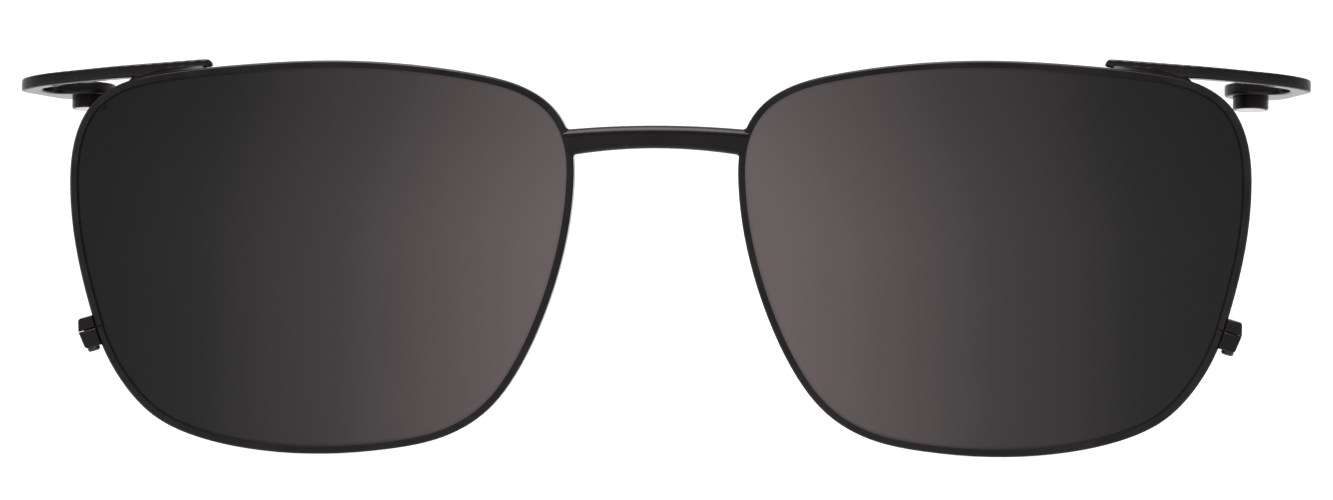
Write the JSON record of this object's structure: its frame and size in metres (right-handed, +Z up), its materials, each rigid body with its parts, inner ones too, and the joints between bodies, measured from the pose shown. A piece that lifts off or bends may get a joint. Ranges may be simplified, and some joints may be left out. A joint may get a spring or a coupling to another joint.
{
  "type": "magnetic sunglass clip",
  "caption": "Wire-rimmed sunglass clip with an arched bridge and a hooked arm on each side that carries a magnet down on to the end piece of a pair of glasses.",
  "frame": {"origin": "midway between the centres of the two magnets' faces, where the clip sits on the glasses", "axes": "+X to the viewer's right along the clip's width, +Y from the front of the lenses to the wearer, +Z up; the magnets' faces slope 8 degrees down to the rear"},
  "size_m": [0.1368, 0.0169, 0.0416],
  "materials": {
    "frame_metal": "satin",
    "tinted_lens": "polished",
    "magnet": "plated",
    "screw_steel": "satin"
  },
  "bodies": {
    "root": {"bridge": "frame_metal", "left_rim": "frame_metal", "right_rim": "frame_metal", "left_lens": "tinted_lens", "right_lens": "tinted_lens", "left_arm": "frame_metal", "right_arm": "frame_metal", "left_magnet_cup": "frame_metal", "right_magnet_cup": "frame_metal", "left_magnet": "magnet", "right_magnet": "magnet", "left_lock_upper": "frame_metal", "left_lock_lower": "frame_metal", "right_lock_upper": "frame_metal", "right_lock_lower": "frame_metal", "left_lock_screw": "screw_steel", "right_lock_screw": "screw_steel"}
  },
  "joints": []
}
